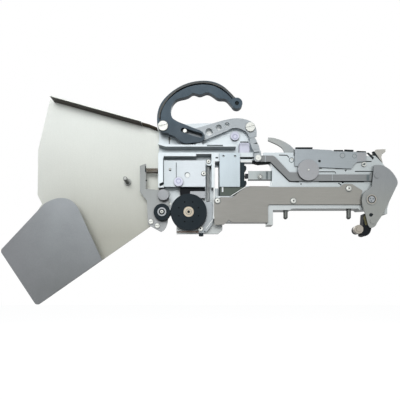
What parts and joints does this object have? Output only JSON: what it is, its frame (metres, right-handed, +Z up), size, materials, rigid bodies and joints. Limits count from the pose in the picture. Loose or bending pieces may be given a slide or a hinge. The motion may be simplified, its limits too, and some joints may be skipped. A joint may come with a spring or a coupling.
{
  "type": "tape feeder",
  "caption": "Mechanical tape feeder for a placement machine: reel plate, folding clamp handle, link bar, nose clamp, take-up rollers and tape cover on a thin frame.",
  "frame": {"origin": "axis of the front locating pin, where it leaves the frame's base", "axes": "+X along the feeder from the reel end to the nose, +Y from the front face to the back, +Z up"},
  "size_m": [0.5348, 0.0196, 0.3024],
  "materials": {
    "frame_metal": "fine blasted",
    "cover_steel": "brushed",
    "bright_steel": "bright",
    "pin_steel": "ground",
    "plate_steel": "satin",
    "grey_paint": "satin paint",
    "black_plastic": "moulded",
    "lever_steel": "satin",
    "bar_steel": "brushed",
    "nose_steel": "brushed",
    "dark_steel": "blackened",
    "brass": "sintered bronze",
    "black_rubber": "ground rubber"
  },
  "bodies": {
    "frame": {"main_frame": "frame_metal", "side_cover": "cover_steel", "side_cover_screws": "bright_steel", "front_locating_pin": "pin_steel", "rear_locating_pin": "pin_steel", "reel_plate": "plate_steel", "reel_pin": "pin_steel", "reel_plate_rivets": "bright_steel", "reel_pocket_cover": "grey_paint", "handle_shaft": "bright_steel", "crank_shaft": "bright_steel", "nose_shaft": "bright_steel", "guide_disc": "bar_steel", "disc_stud": "bright_steel", "cover_hinge_pin": "bright_steel", "latch_pin": "bright_steel", "rear_cover": "cover_steel", "rear_cover_screws": "bright_steel", "tape_exit_guide": "dark_steel", "cylinder_body": "black_plastic", "cylinder_plate": "frame_metal", "take_up_shaft": "dark_steel", "bracket_shaft": "bright_steel", "bracket_spring": "brass", "tension_spring": "bright_steel", "inner_panel": "frame_metal", "panel_screws": "bright_steel", "round_bosses": "frame_metal", "peel_guide": "black_plastic", "peel_block": "cover_steel", "guide_block": "frame_metal"},
    "handle": {"handle": "black_plastic"},
    "crank": {"crank_lever": "lever_steel", "handle_slot_pin": "bright_steel", "link_pin": "bright_steel"},
    "link": {"link_bar": "bar_steel"},
    "nose_clamp": {"nose_plate": "nose_steel", "nose_rivets": "bright_steel", "hook_arm": "black_plastic", "clamp_roller_pin": "bright_steel"},
    "clamp_wheel": {"clamp_roller": "bright_steel"},
    "take_up_wheel": {"take_up_roller": "black_rubber", "take_up_hub": "brass"},
    "bracket": {"release_bracket": "lever_steel", "bracket_screws": "bright_steel", "pinch_roller_screw": "bright_steel"},
    "pinch_wheel": {"pinch_roller": "black_rubber"},
    "take_up_drive": {"take_up_lever": "lever_steel", "lever_screw": "bright_steel", "lever_bumper": "black_rubber"},
    "rod": {"piston": "brass", "piston_rod": "bright_steel", "rod_block": "frame_metal", "rod_screw": "bright_steel"},
    "cover": {"tape_cover": "cover_steel"},
    "cover_latch": {"cover_latch_lever": "lever_steel"},
    "tape_drive": {"sprocket": "bright_steel", "ratchet_wheel": "bright_steel", "sprocket_shaft": "bright_steel"}
  },
  "joints": [
    {"name": "handle_swing", "type": "hinge", "parent": "frame", "child": "handle", "pos_m": [-0.2538, -0.001, 0.1109], "axis": [0, -1, 0], "range_deg": [0, 33]},
    {"name": "crank_turn", "type": "hinge", "parent": "frame", "child": "crank", "pos_m": [-0.1348, 0.0009, 0.1128], "axis": [0, -1, 0], "range_deg": [-12, 0]},
    {"name": "link_turn", "type": "hinge", "parent": "crank", "child": "link", "pos_m": [-0.1255, -0.0063, 0.067], "axis": [0, -1, 0], "range_deg": [0, 12.5]},
    {"name": "nose_turn", "type": "hinge", "parent": "frame", "child": "nose_clamp", "pos_m": [0.0266, -0.0085, 0.0111], "axis": [0, -1, 0], "range_deg": [0, 17]},
    {"name": "clamp_roller_spin", "type": "hinge", "parent": "nose_clamp", "child": "clamp_wheel", "pos_m": [0.0106, -0.0051, -0.0286], "axis": [0, -1, 0], "continuous": true},
    {"name": "take_up_spin", "type": "hinge", "parent": "frame", "child": "take_up_wheel", "pos_m": [-0.2191, -0.005, -0.0053], "axis": [0, -1, 0], "continuous": true},
    {"name": "bracket_release", "type": "hinge", "parent": "frame", "child": "bracket", "pos_m": [-0.2535, -0.0001, 0.0183], "axis": [0, 1, 0], "range_deg": [0, 8], "stiffness_Nm_per_rad": 0.4, "springref_deg": -5.73, "deforming": ["bracket_spring"]},
    {"name": "pinch_spin", "type": "hinge", "parent": "bracket", "child": "pinch_wheel", "pos_m": [-0.2551, -0.005, -0.0053], "axis": [0, -1, 0], "continuous": true},
    {"name": "lever_swing", "type": "hinge", "parent": "frame", "child": "take_up_drive", "pos_m": [-0.2191, 0.0009, -0.0053], "axis": [0, 1, 0], "range_deg": [0, 12], "stiffness_Nm_per_rad": 0.3, "springref_deg": -5.73, "deforming": ["tension_spring"]},
    {"name": "rod_slide", "type": "slide", "parent": "frame", "child": "rod", "axis": [1, 0, 0], "range_m": [0, 0.008]},
    {"name": "cover_swing", "type": "hinge", "parent": "frame", "child": "cover", "pos_m": [-0.064, 0.0015, 0.0605], "axis": [0, -1, 0], "range_deg": [0, 22]},
    {"name": "latch_swing", "type": "hinge", "parent": "frame", "child": "cover_latch", "pos_m": [-0.0788, -0.0026, 0.0669], "axis": [0, -1, 0], "range_deg": [0, 15], "stiffness_Nm_per_rad": 0.05, "springref_deg": -11.46},
    {"name": "sprocket_spin", "type": "hinge", "parent": "frame", "child": "tape_drive", "pos_m": [0.0185, 0.0015, 0.0597], "axis": [0, -1, 0], "continuous": true}
  ],
  "couplings": [
    {"joint": "crank_turn", "follows": "handle_swing", "ratio": -0.337},
    {"joint": "link_turn", "follows": "handle_swing", "ratio": 0.361},
    {"joint": "nose_turn", "follows": "handle_swing", "ratio": 0.4972},
    {"joint": "pinch_spin", "follows": "take_up_spin", "ratio": -2.1304}
  ]
}
